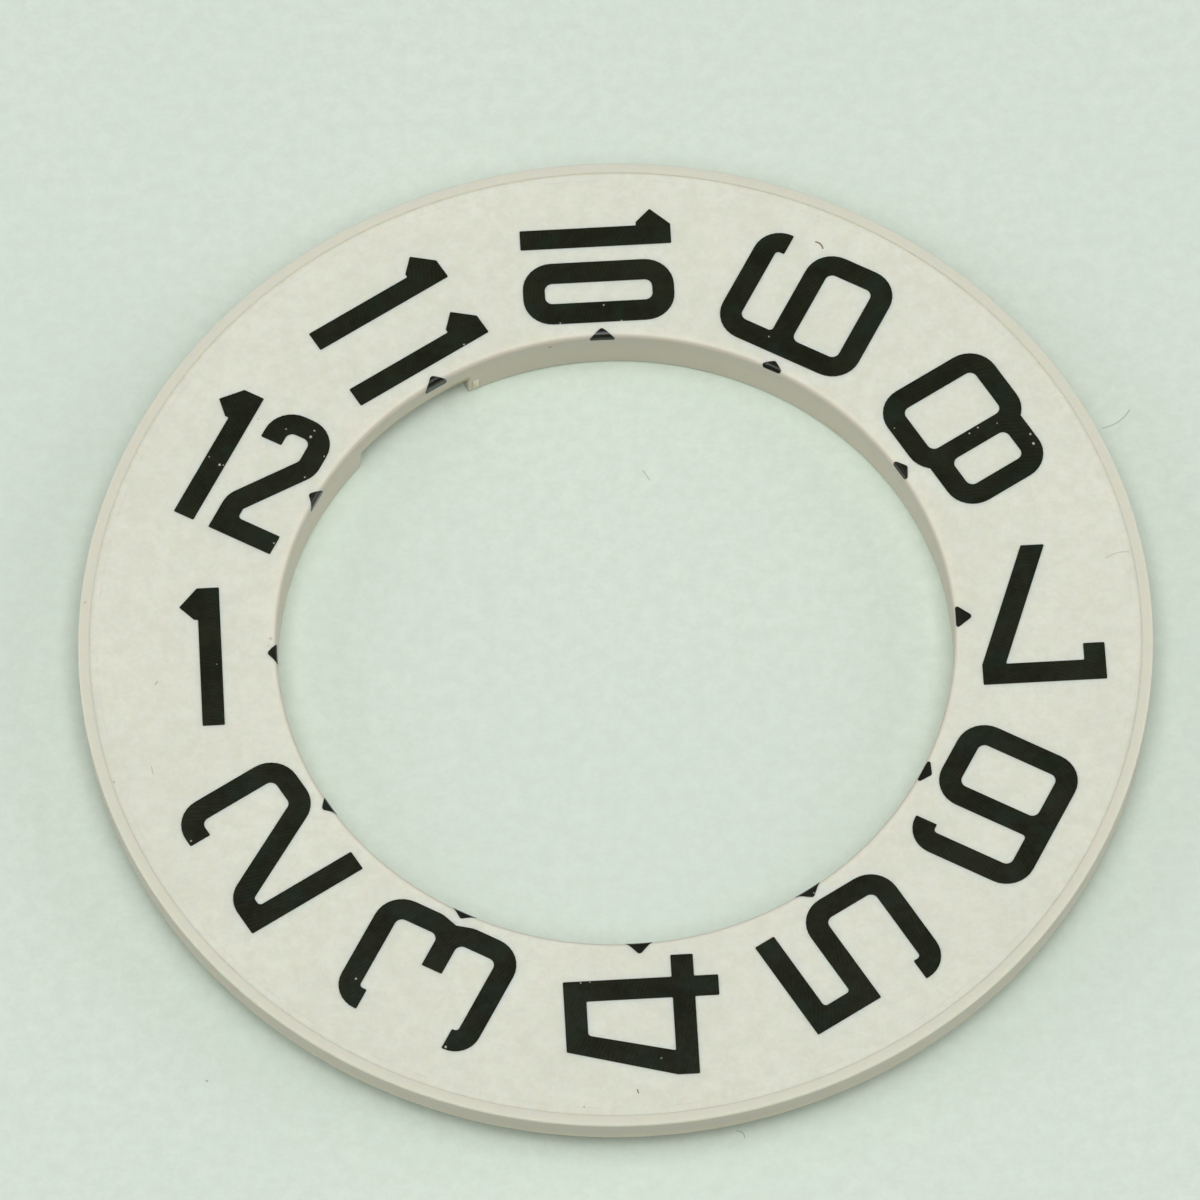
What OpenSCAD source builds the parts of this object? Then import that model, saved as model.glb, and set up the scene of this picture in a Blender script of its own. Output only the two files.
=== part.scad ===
// Hour disc of a watch that shows the hour as a figure in a window.
// A thin moulded ring carries the hours 1 to 12, printed so that each reads
// upright as it passes the left side. A deeper collar round the bore bears on
// the movement, and a notch in the collar takes the driving finger.
// Millimetres. The origin lies on the disc's axis, on the plane of the collar's
// foot. +Z points out of the printed face, and +X runs through the hour 7.

/* [Ring] */
// Diameter over the rim
disc_d = 28; // [25:0.1:32]
// Width of the ring between its bore and its rim
ring_w = 5.17; // [4.6:0.01:6]
// Thickness of the flat web that carries the print
web_t = 0.72; // [0.5:0.02:1.2]
// Width of the raised lip along the rim
lip_w = 0.29; // [0.15:0.01:0.6]
// Height of the raised lip above the face
lip_h = 0.05; // [0.02:0.01:0.12]
// Radius of the soft edge between the face and the bore
bore_edge_r = 0.12; // [0.05:0.01:0.25]
// Radius of the rim's two edges
rim_edge_r = 0.04; // [0.01:0.01:0.06]

/* [Collar] */
// How far the collar stands below the web
collar_h = 0.78; // [0.56:0.02:1.5]
// Thickness of the collar's wall
collar_w = 1; // [0.6:0.05:2]
// Radius of the two edges at the collar's foot
foot_edge_r = 0.06; // [0.02:0.01:0.15]
// Where the middle of the driving notch lies, in degrees from the hour 7
notch_at = 124.6; // [0:0.1:360]
// How much of the collar the driving notch takes out, in degrees
notch_span = 23.2; // [10:0.1:40]
// Width of the trimmed moulding gate beside the notch
gate_w = 0.34; // [0.2:0.02:0.6]
// Height of the trimmed gate
gate_h = 0.44; // [0.2:0.02:0.48]
// How far the trimmed gate stands out of the bore's wall
gate_out = 0.03; // [0.02:0.01:0.06]

/* [Numerals] */
// Height of the numerals
numeral_h = 4; // [3.2:0.1:4.6]
// Width of a stroke
stroke = 0.58; // [0.4:0.02:0.66]
// Width of a numeral that stands alone
wide_w = 3.38; // [2.8:0.02:3.6]
// Width of the 0 in 10 and of the 2 in 12
narrow_w = 1.82; // [1.7:0.02:2.2]
// Width of a 1 over its flag
one_w = 1.06; // [0.9:0.02:1.3]
// Space between the two figures of 10 and 12
pair_gap = 0.44; // [0.2:0.02:0.6]
// Space between the two figures of 11
one_gap = 0.92; // [0.5:0.02:1.2]
// Space between the numerals and the bore
numeral_gap = 0.38; // [0.3:0.02:0.7]
// Radius of the numerals' outer bends
bend_r = 0.78; // [0.3:0.02:0.8]
// Radius of the numerals' inner bends
inner_r = 0.2; // [0.05:0.01:0.25]
// Radius that the ink gives to square corners
ink_corner_r = 0.03; // [0.01:0.005:0.05]

/* [Hour marks] */
// Distance from the bore to the tip of a whole mark
mark_reach = 0.39; // [0.3:0.01:0.45]
// Length of a whole mark from its tip to its base
mark_l = 0.45; // [0.4:0.01:0.6]
// Width of a mark's base
mark_w = 0.74; // [0.5:0.02:0.9]

/* [Print] */
// Thickness of the ink
ink_t = 0.015; // [0.01:0.001:0.04]
// How far the print sits off the disc's axis towards the hour 7
print_x = 0.11; // [-0.12:0.005:0.12]
// How far the print sits off the disc's axis towards the hour 10
print_y = 0.005; // [-0.12:0.005:0.12]
// How far the marks drift along their circle against the numerals
mark_drift = 0.04; // [0:0.005:0.1]

/* [Hidden] */
$fn = 96;
hours = [1:12];
// What the names of an hour's figures end in
function places(hour) = hour < 10 ? [""] : ["_tens", "_units"];
function has_tens(hour) = len(places(hour)) > 1;

ring_colour = [0.87, 0.86, 0.80];
ink_colour = [0.10, 0.11, 0.09];

disc_r = disc_d / 2;
bore_r = disc_r - ring_w;
collar_r = bore_r + collar_w;
face_z = collar_h + web_t;
rim_z = face_z + lip_h;
// The two ends of the driving notch
notch_from = notch_at - notch_span / 2;
notch_to = notch_at + notch_span / 2;
// How deep the trimmed gate is rooted in the collar
gate_root = collar_w / 2;

// One hour's share of the circle, and the hour that lies on +X
hour_angle = 30;
first_hour = 7;
// The circle that the numerals are centred on
numeral_r = bore_r + numeral_gap + wide_w / 2;

// How long the hooks are: those of the 2 and the 7, the 3's lower one, and all the short ones
long_hook = stroke + 0.44;
seven_hook = stroke + 0.48;
low_hook = stroke + 0.16;
short_hook = stroke + 0.22;
// How much wider than a stroke a hook's end is
hook_more = 0.02;
// How far over its base the slope of a 2 leaves its left stroke, and where it meets its right side
wide_slope = [0.25, 0.565 * numeral_h];
narrow_slope = [0.29, 0.645 * numeral_h];
// The middle of the 3, the length of its arm, and the nick between its bowls
three_mid_y = 0.495 * numeral_h;
three_arm = 0.45 * wide_w;
nick_in = 0.13;
nick_half_h = 0.45;
// The 4: the run of its slant, its stem's left edge, its bar, how much more than a stroke the slant
// takes at its foot, and how far the figure stands to the left
four_slant = 0.78;
four_stem_x = 0.645 * wide_w;
four_bar_y = 0.3 * numeral_h;
four_inner_more = 0.08;
four_out = 0.04;
// The bar of the 5, and how far its stem and its head stop short of its sides
five_bar_y = 0.66 * numeral_h;
five_stem_in = 0.2;
five_head_in = 0.23;
// The bar of the 6, whose turned copy is the 9
six_bar_y = 0.617 * numeral_h;
// How far the 7 stops short on the right, and where its foot stands
seven_in = 0.16;
seven_foot_x = 0.405 * wide_w;
// The bar of the 8, how much thinner than a stroke it is, and how far the upper bowl is drawn in
eight_bar_y = 0.63 * numeral_h;
eight_bar_less = 0.06;
eight_in = 0.26;
// How far the lower bowl of the 8 rounds off above its bar
eight_shoulder = 0.07;
// How much wider than a stroke the sides of the 0 are
zero_more = 0.03;
// The flag of the 1: the height of its tip, and the height and length of its underside
flag_tip_y = 0.868 * numeral_h;
flag_low_y = 0.772 * numeral_h;
flag_low_w = 0.1;

// The whole mark's place, and how the ink rounds its base
mark_tip_r = bore_r + mark_reach;
mark_base_r = mark_tip_r - mark_l;
mark_corner_r = 0.05;
// How far each mark's tip falls short of a whole one, for the hours 1 to 12
mark_worn = [0, 0.04, 0.12, 0.05, 0.17, 0.19, 0.02, 0.19, 0.17, 0.11, 0.07, 0.03];
// The hour whose mark drifts the most
drift_hour = 12;
// How far the ink of a mark runs down the bore's wall below its soft edge
mark_run = 0.08;

// Corners under fine_r are drawn in fine_steps, the others in arc_steps
fine_r = 0.1;
fine_steps = 2;
arc_steps = 8;
// How far a cutting shape runs past what it cuts
over = 1;

// One rounded corner at b of an outline that comes from a and goes on to c
function corner(a, b, c, r) =
    let (
        to_a = (a - b) / norm(a - b),
        to_c = (c - b) / norm(c - b),
        half = acos(to_a * to_c) / 2,
        centre = b + (to_a + to_c) / norm(to_a + to_c) * r / sin(half),
        from = b + to_a * r / tan(half) - centre,
        to = b + to_c * r / tan(half) - centre,
        start = atan2(from.y, from.x),
        turn = atan2(cross(from, to), from * to),
        steps = r < fine_r ? fine_steps : arc_steps
    )
    [for (k = [0:steps]) centre + r * [cos(start + turn * k / steps), sin(start + turn * k / steps)]];

// A closed outline from corners given as [x, y, radius], or as [x, y] where only the ink rounds them
function outline(corners) =
    let (
        last = len(corners) - 1,
        place = [for (c = corners) [c.x, c.y]]
    )
    [for (i = [0:last]) each
        corner(
            place[i == 0 ? last : i - 1],
            place[i],
            place[i == last ? 0 : i + 1],
            len(corners[i]) == 3 ? corners[i].z : ink_corner_r
        )];

// The radius of the bend that leads into a hook, which ends before the hook does
function hook_bend(hook) = min(bend_r, hook - 2 * ink_corner_r);

// What rounds the corner of a section at [x, z], whose material lies towards [in_x, in_z]
module round_off(x, z, r, in_x, in_z) {
    difference() {
        translate([x + (in_x > 0 ? -over : -r), z + (in_z > 0 ? -over : -r)]) square(r + over);
        translate([x + in_x * r, z + in_z * r]) circle(r);
    }
}

// Half of the ring's section, with the collar at its full depth
module ring_section() {
    difference() {
        union() {
            translate([bore_r, 0]) square([collar_w, face_z]);
            translate([bore_r, collar_h]) square([disc_r - bore_r, web_t]);
            translate([disc_r - lip_w, collar_h]) square([lip_w, web_t + lip_h]);
        }
        round_off(bore_r, face_z, bore_edge_r, 1, -1);
        round_off(disc_r, rim_z, rim_edge_r, -1, -1);
        round_off(disc_r, collar_h, rim_edge_r, -1, 1);
        round_off(bore_r, 0, foot_edge_r, 1, 1);
        round_off(collar_r, 0, foot_edge_r, -1, 1);
    }
}

// The wedge that the driving notch takes out of the collar, up to the web
module notch_cut() {
    reach = collar_r + over;
    translate([0, 0, -over])
        linear_extrude(collar_h + over)
            polygon(concat(
                [[0, 0]],
                [for (a = [notch_from, notch_at, notch_to]) reach * [cos(a), sin(a)]]
            ));
}

// The stub of the moulding gate, on the bore's wall at the notch's first end
module gate_stub() {
    rotate([0, 0, notch_from])
        translate([bore_r - gate_out, -gate_w, foot_edge_r])
            cube([gate_root + gate_out, gate_w + gate_root, gate_h]);
}

// The moulding: web, rim lip, collar and gate stub in one piece
module hour_ring() {
    color(ring_colour)
        difference() {
            union() {
                rotate_extrude() ring_section();
                gate_stub();
            }
            notch_cut();
        }
}

module figure_0(w) {
    difference() {
        polygon(outline([[0, 0, bend_r], [0, numeral_h, bend_r], [w, numeral_h, bend_r], [w, 0, bend_r]]));
        counter(w, stroke, numeral_h - stroke, stroke + zero_more);
    }
}

module figure_1() {
    stem_x = one_w - stroke;
    polygon(outline([
        [stem_x, 0],
        [stem_x, flag_low_y],
        [stem_x - flag_low_w, flag_low_y],
        [0, flag_tip_y],
        [stem_x, numeral_h],
        [one_w, numeral_h],
        [one_w, 0]
    ]));
}

module figure_2(w, slope) {
    leave_y = stroke + slope[0];
    m = (slope[1] - leave_y) / (w - stroke);
    // The slope's upper edge runs a stroke's width above its lower one
    upper_y = leave_y - m * stroke + stroke * sqrt(1 + m * m);
    hook_x = stroke + hook_more;
    hook_y = numeral_h - long_hook;
    polygon(outline([
        [0, 0],
        [0, upper_y, bend_r],
        [w - stroke, upper_y + m * (w - stroke), inner_r],
        [w - stroke, numeral_h - stroke, inner_r],
        [hook_x, numeral_h - stroke, inner_r],
        [hook_x, hook_y],
        [0, hook_y],
        [0, numeral_h, bend_r],
        [w, numeral_h, bend_r],
        [w, slope[1], bend_r],
        [stroke, leave_y, inner_r / 2],
        [stroke, stroke, inner_r / 2],
        [w, stroke],
        [w, 0]
    ]));
}

module figure_3() {
    w = wide_w;
    hook_x = stroke + hook_more;
    hook_y = numeral_h - short_hook;
    arm_x = w - three_arm;
    polygon(outline([
        [0, low_hook],
        [hook_x, low_hook],
        [hook_x, stroke, inner_r / 2],
        [w - stroke, stroke, inner_r],
        [w - stroke, three_mid_y - stroke / 2, inner_r],
        [arm_x, three_mid_y - stroke / 2],
        [arm_x, three_mid_y + stroke / 2],
        [w - stroke, three_mid_y + stroke / 2, inner_r],
        [w - stroke, numeral_h - stroke, inner_r],
        [hook_x, numeral_h - stroke, inner_r / 2],
        [hook_x, hook_y],
        [0, hook_y],
        [0, numeral_h, hook_bend(short_hook)],
        [w, numeral_h, bend_r],
        [w, three_mid_y + nick_half_h, bend_r],
        [w - nick_in, three_mid_y],
        [w, three_mid_y - nick_half_h, bend_r],
        [w, 0, bend_r],
        [0, 0, hook_bend(low_hook)]
    ]));
}

module figure_4() {
    stem_end = four_stem_x + stroke;
    bar_low = four_bar_y - stroke;
    // The inner slant runs along the outer one, a stroke's width away
    slant_rise = (numeral_h - four_bar_y) / four_slant;
    slant_w = stroke * sqrt(1 + slant_rise * slant_rise) / slant_rise;
    inner_low_x = slant_w + four_inner_more;
    inner_top_x = slant_w + (numeral_h - stroke - four_bar_y) / slant_rise;
    difference() {
        polygon(outline([
            [0, bar_low],
            [0, four_bar_y - hook_more],
            [four_slant, numeral_h],
            [stem_end, numeral_h],
            [stem_end, four_bar_y],
            [wide_w, four_bar_y],
            [wide_w, bar_low],
            [stem_end, bar_low],
            [stem_end, 0],
            [four_stem_x, 0],
            [four_stem_x, bar_low]
        ]));
        polygon(outline([
            [inner_low_x, four_bar_y],
            [inner_top_x, numeral_h - stroke, inner_r / 2],
            [four_stem_x, numeral_h - stroke],
            [four_stem_x, four_bar_y]
        ]));
    }
}

module figure_5() {
    w = wide_w;
    hook_x = stroke + hook_more;
    stem_end = five_stem_in + stroke;
    bar_low = five_bar_y - stroke;
    polygon(outline([
        [0, short_hook],
        [hook_x, short_hook],
        [hook_x, stroke, inner_r / 2],
        [w - stroke, stroke, inner_r],
        [w - stroke, bar_low, inner_r],
        [five_stem_in, bar_low],
        [five_stem_in, numeral_h],
        [w - five_head_in, numeral_h],
        [w - five_head_in, numeral_h - stroke],
        [stem_end, numeral_h - stroke, inner_r / 2],
        [stem_end, five_bar_y, inner_r / 2],
        [w, five_bar_y, bend_r],
        [w, 0, bend_r],
        [0, 0, hook_bend(short_hook)]
    ]));
}

module figure_6() {
    w = wide_w;
    hook_x = w - stroke - hook_more;
    hook_y = numeral_h - short_hook;
    difference() {
        polygon(outline([
            [0, 0, bend_r],
            [0, numeral_h, bend_r],
            [w, numeral_h, hook_bend(short_hook)],
            [w, hook_y],
            [hook_x, hook_y],
            [hook_x, numeral_h - stroke, inner_r / 2],
            [stroke, numeral_h - stroke, inner_r],
            [stroke, six_bar_y, inner_r / 2],
            [w, six_bar_y, bend_r],
            [w, 0, bend_r]
        ]));
        counter(w, stroke, six_bar_y - stroke, stroke);
    }
}

module figure_7() {
    w = wide_w - seven_in;
    bar_y = numeral_h - stroke;
    hook_y = numeral_h - seven_hook;
    // The leg keeps the stroke's width across its slope
    leg_rise = bar_y / (w - seven_foot_x - stroke);
    leg_w = stroke * sqrt(1 + leg_rise * leg_rise) / leg_rise;
    polygon(outline([
        [seven_foot_x, 0],
        [w - leg_w, bar_y],
        [stroke - hook_more, bar_y],
        [stroke - hook_more, hook_y],
        [0, hook_y],
        [0, numeral_h],
        [w, numeral_h],
        [w, bar_y],
        [seven_foot_x + leg_w, 0]
    ]));
}

module figure_8() {
    w = wide_w;
    bar_low = eight_bar_y - stroke + eight_bar_less;
    upper_to = w - eight_in;
    lower_top = eight_bar_y + eight_shoulder;
    difference() {
        union() {
            polygon(outline([[0, 0, bend_r], [0, lower_top, bend_r], [w, lower_top, bend_r], [w, 0, bend_r]]));
            polygon(outline([
                [eight_in, bar_low],
                [eight_in, numeral_h, bend_r],
                [upper_to, numeral_h, bend_r],
                [upper_to, bar_low]
            ]));
        }
        counter(w, stroke, bar_low, stroke);
        counter(w, eight_bar_y, numeral_h - stroke, eight_in + stroke);
    }
}

// The opening inside a bowl, between two heights and as far in from each side
module counter(w, from_y, to_y, side) {
    polygon(outline([
        [side, from_y, inner_r],
        [side, to_y, inner_r],
        [w - side, to_y, inner_r],
        [w - side, from_y, inner_r]
    ]));
}

// The last figure of one hour, from x = 0 and standing on y = 0
module last_figure(hour) {
    if (hour == 1 || hour == 11) figure_1();
    if (hour == 2) figure_2(wide_w, wide_slope);
    if (hour == 3) figure_3();
    if (hour == 4) translate([-four_out, 0]) figure_4();
    if (hour == 5) figure_5();
    if (hour == 6) figure_6();
    if (hour == 7) figure_7();
    if (hour == 8) figure_8();
    if (hour == 9) translate([wide_w, numeral_h]) rotate(180) figure_6();
    if (hour == 10) figure_0(narrow_w);
    if (hour == 12) figure_2(narrow_w, narrow_slope);
}

// Where the last figure of one hour starts, behind its tens if it has them
function last_x(hour) = has_tens(hour) ? one_w + (hour == 11 ? one_gap : pair_gap) : 0;

// How wide the last figure of one hour is
function last_w(hour) = hour == 1 || hour == 11 ? one_w : has_tens(hour) ? narrow_w : wide_w;

// Turns what lies along +X to an hour's place in the print
module at_hour(hour) {
    translate([print_x, print_y, 0])
        rotate([0, 0, hour_angle * (hour - first_hour)])
            children();
}

// One printed figure of an hour, which reads from the rim to the bore
module numeral(hour, place) {
    hour_w = last_x(hour) + last_w(hour);
    color(ink_colour)
        at_hour(hour)
            rotate([0, 0, 180])
                translate([-numeral_r - hour_w / 2, -numeral_h / 2, face_z])
                    linear_extrude(ink_t)
                        if (place == "_tens") figure_1();
                        else translate([last_x(hour), 0]) last_figure(hour);
}

// The coat that ink forms on the face, over its soft edge and a little way down the bore
module ink_coat() {
    edge_x = bore_r + bore_edge_r;
    edge_z = face_z - bore_edge_r;
    rotate_extrude()
        union() {
            translate([edge_x, face_z]) square([mark_reach + over, ink_t]);
            translate([bore_r - ink_t, edge_z - mark_run]) square([ink_t, mark_run]);
            intersection() {
                difference() {
                    translate([edge_x, edge_z]) circle(bore_edge_r + ink_t);
                    translate([edge_x, edge_z]) circle(bore_edge_r);
                }
                translate([edge_x - over, edge_z]) square(over);
            }
        }
}

// One printed mark, which points at its hour from the bore
module mark(hour) {
    tip = mark_tip_r - mark_worn[hour - 1];
    drift = mark_drift * cos(hour_angle * (hour - drift_hour));
    color(ink_colour)
        intersection() {
            ink_coat();
            at_hour(hour)
                translate([0, -drift, collar_h])
                    linear_extrude(web_t + over)
                        polygon(outline([
                            [tip, 0],
                            [mark_base_r, mark_w / 2, mark_corner_r],
                            [mark_base_r, -mark_w / 2, mark_corner_r]
                        ]));
        }
}

hour_ring();
for (hour = hours) {
    for (place = places(hour))
        numeral(hour, place);
    mark(hour);
}
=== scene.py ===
"""Looks of a watch's hour disc: a moulded ring with printed hours and pointer marks.

The disc lies face up on a pale sheet. Sizes are in millimetres, and every
finished mesh is brought to metres.
"""

import logging
import math
from collections.abc import Callable, Iterable
from dataclasses import dataclass, field, replace
from enum import Enum

import bmesh
import bpy
from mathutils import Matrix, Vector

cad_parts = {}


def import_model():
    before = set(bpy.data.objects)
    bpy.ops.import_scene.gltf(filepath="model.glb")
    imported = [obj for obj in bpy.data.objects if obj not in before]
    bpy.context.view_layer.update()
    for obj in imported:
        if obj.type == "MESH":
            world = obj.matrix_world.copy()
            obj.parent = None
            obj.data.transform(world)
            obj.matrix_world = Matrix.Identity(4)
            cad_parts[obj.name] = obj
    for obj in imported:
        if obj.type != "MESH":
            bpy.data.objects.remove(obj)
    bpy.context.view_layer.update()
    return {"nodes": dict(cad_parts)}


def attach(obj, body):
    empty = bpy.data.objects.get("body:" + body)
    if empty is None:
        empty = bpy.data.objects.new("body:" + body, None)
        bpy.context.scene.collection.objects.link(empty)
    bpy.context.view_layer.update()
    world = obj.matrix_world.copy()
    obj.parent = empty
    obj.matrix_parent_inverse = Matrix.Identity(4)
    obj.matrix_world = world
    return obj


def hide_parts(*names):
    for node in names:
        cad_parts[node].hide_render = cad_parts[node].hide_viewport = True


LOG = logging.getLogger("hour_disc")
MM = 0.001  # in metres
NEAR = 1e-3  # places closer than this, in millimetres, count as one
MERGE = 1e-4  # points closer than this, in millimetres, are merged

Socket = bpy.types.NodeSocket
Sockets = bpy.types.bpy_prop_collection
Value = float | tuple[float, ...]
Feed = Value | Socket
Point = tuple[float, float, float]
Element = bmesh.types.BMVert | bmesh.types.BMEdge | bmesh.types.BMFace


class Slot(Enum):
    """The record's material slots."""

    RING = "ring"
    INK = "ink"


class Pick(Enum):
    """The kinds of mesh element that a step selects."""

    POINTS = "VERT"
    EDGES = "EDGE"
    FACES = "FACE"


class Effect(Enum):
    """The shader groups that the finishes share."""

    PLACE = "Place on the disc"
    MOTTLE = "Mottle"
    SPECKS = "Specks"
    BAND = "Ring band"
    PLATE_LINES = "Plate lines"
    SPOT = "Spot"
    HAIR = "Hair"


@dataclass(frozen=True)
class Tint:
    """A colour as it is seen, each part from 0 to 255."""

    red: int
    green: int
    blue: int

    def linear(self) -> tuple[float, float, float, float]:
        """Works out the colour as light.

        Returns:
            The colour for a shader, with its opacity.
        """
        parts = (part / 255 for part in (self.red, self.green, self.blue))
        light = [p / 12.92 if p <= 0.04045 else ((p + 0.055) / 1.055) ** 2.4 for p in parts]
        return (*light, 1.0)


@dataclass(frozen=True)
class DiscSizes:
    """The sizes that the moulding, its print and its finishes share, in millimetres and degrees."""

    rim_r: float = 14.0
    bore_r: float = 8.83
    collar_w: float = 1.0
    collar_h: float = 0.78
    web_t: float = 0.72
    lip_w: float = 0.29
    lip_h: float = 0.05
    edge_r: float = 0.14
    ink_t: float = 0.015
    notch_from: float = 113.0
    notch_span: float = 23.2

    @property
    def face_z(self) -> float:
        """Height of the printed face."""
        return self.collar_h + self.web_t

    @property
    def print_z(self) -> float:
        """Height of the ink's surface."""
        return self.face_z + self.ink_t

    @property
    def collar_r(self) -> float:
        """Outer radius of the collar."""
        return self.bore_r + self.collar_w

    @property
    def lip_r(self) -> float:
        """Inner radius of the lip."""
        return self.rim_r - self.lip_w


DISC = DiscSizes()


class Workpiece:
    """A mesh object that is shaped in millimetres and finished in metres."""

    def __init__(self, obj: bpy.types.Object, name: str) -> None:
        """Takes an object in hand and names it.

        Args:
            obj: The mesh object.
            name: The piece's name.
        """
        self.obj = obj
        obj.name = name
        obj.data.name = name

    @classmethod
    def upright_plate(cls, name: str, low: tuple[float, float],
                      high: tuple[float, float]) -> "Workpiece":
        """Adds a flat plate that stands in the XZ plane.

        Args:
            name: The piece's name.
            low: Its lowest x and z.
            high: Its highest x and z.

        Returns:
            The plate.
        """
        bpy.ops.object.select_all(action="DESELECT")
        bpy.ops.mesh.primitive_plane_add(size=1)
        piece = cls(bpy.context.object, name)
        size = Matrix.Diagonal((high[0] - low[0], 1, high[1] - low[1], 1))
        middle = Matrix.Translation(((low[0] + high[0]) / 2, 0, (low[1] + high[1]) / 2))
        piece.obj.data.transform(middle @ size @ Matrix.Rotation(math.pi / 2, 4, "X"))
        return piece

    @classmethod
    def block(cls, name: str, low: Vector, high: Vector) -> "Workpiece":
        """Adds a block.

        Args:
            name: The piece's name.
            low: Its lowest corner.
            high: Its highest corner.

        Returns:
            The block.
        """
        bpy.ops.object.select_all(action="DESELECT")
        bpy.ops.mesh.primitive_cube_add(size=1)
        piece = cls(bpy.context.object, name)
        size = Matrix.Diagonal((*(high - low), 1))
        piece.obj.data.transform(Matrix.Translation((low + high) / 2) @ size)
        return piece

    @classmethod
    def copy_of(cls, node: bpy.types.Object, name: str) -> "Workpiece":
        """Copies a CAD node's mesh and merges its loose triangles.

        Args:
            node: The CAD node, which is left as it is.
            name: The piece's name.

        Returns:
            The copy.
        """
        obj = bpy.data.objects.new(name, node.data.copy())
        bpy.context.scene.collection.objects.link(obj)
        obj.data.materials.clear()
        piece = cls(obj, name)
        obj.data.transform(Matrix.Scale(1 / MM, 4))
        piece.edit()
        piece.select_all()
        bpy.ops.mesh.remove_doubles(threshold=MERGE)
        return piece

    def alone(self) -> None:
        """Selects the piece and nothing else, in object mode."""
        if bpy.context.mode != "OBJECT":
            bpy.ops.object.mode_set(mode="OBJECT")
        bpy.ops.object.select_all(action="DESELECT")
        self.obj.select_set(True)
        bpy.context.view_layer.objects.active = self.obj

    def edit(self) -> None:
        """Opens the piece in edit mode, alone."""
        self.alone()
        bpy.ops.object.mode_set(mode="EDIT")

    def select_all(self) -> None:
        """Selects the whole mesh."""
        bpy.ops.mesh.select_all(action="SELECT")

    def select(self, kind: Pick, test: Callable[[Element], bool]) -> int:
        """Selects the elements that pass a test, and nothing else.

        Args:
            kind: What is selected.
            test: What each element has to pass.

        Returns:
            How many elements passed.
        """
        bpy.ops.mesh.select_mode(type=kind.value)
        bpy.ops.mesh.select_all(action="DESELECT")
        mesh = bmesh.from_edit_mesh(self.obj.data)
        items = {Pick.POINTS: mesh.verts, Pick.EDGES: mesh.edges, Pick.FACES: mesh.faces}[kind]
        chosen = [item for item in items if test(item)]
        for item in chosen:
            item.select_set(True)
        mesh.select_flush_mode()
        bmesh.update_edit_mesh(self.obj.data)
        return len(chosen)

    def cut(self, point: Vector, normal: Vector, clear: bool = False) -> None:
        """Cuts the whole mesh along a plane.

        Args:
            point: A point of the plane.
            normal: The plane's direction.
            clear: Whether what lies on the direction's side is cleared away.
        """
        self.select_all()
        bpy.ops.mesh.bisect(plane_co=point, plane_no=normal, clear_outer=clear, threshold=1e-6)

    def round_points(self, test: Callable[[Element], bool], radius: float, steps: int) -> None:
        """Rounds the corners of a flat outline.

        Args:
            test: What each corner has to pass.
            radius: The corner's radius.
            steps: The number of edges in each corner.
        """
        self.select(Pick.POINTS, test)
        bpy.ops.mesh.bevel(offset=radius, segments=steps, affect="VERTICES", profile=0.5,
                           clamp_overlap=False)

    def round_edges(self, test: Callable[[Element], bool], radius: float, steps: int) -> int:
        """Rounds edges of the mesh.

        Args:
            test: What each edge has to pass.
            radius: The radius.
            steps: The number of faces across each edge.

        Returns:
            The number of edges rounded.
        """
        count = self.select(Pick.EDGES, test)
        bpy.ops.mesh.bevel(offset=radius, segments=steps, affect="EDGES", profile=0.5,
                           clamp_overlap=True)
        return count

    def apply(self, kind: str, **settings: object) -> None:
        """Adds a modifier and applies it.

        Args:
            kind: The modifier's type.
            settings: Its settings.
        """
        self.alone()
        modifier = self.obj.modifiers.new(kind.title(), kind)
        for name, value in settings.items():
            setattr(modifier, name, value)
        bpy.ops.object.modifier_apply(modifier=modifier.name)

    def turn(self, degrees: float) -> None:
        """Turns the mesh about the disc's axis."""
        self.alone()
        self.obj.data.transform(Matrix.Rotation(math.radians(degrees), 4, "Z"))

    def finish(self, smooth_below: float) -> bpy.types.Object:
        """Shades the piece, brings it to metres and rides it on the disc.

        Args:
            smooth_below: The angle in degrees up to which faces are shaded as one surface.

        Returns:
            The finished object.
        """
        self.alone()
        self.obj.data.transform(Matrix.Scale(MM, 4))
        bpy.ops.object.shade_smooth_by_angle(angle=math.radians(smooth_below))
        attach(self.obj, "root")
        return self.obj


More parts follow.
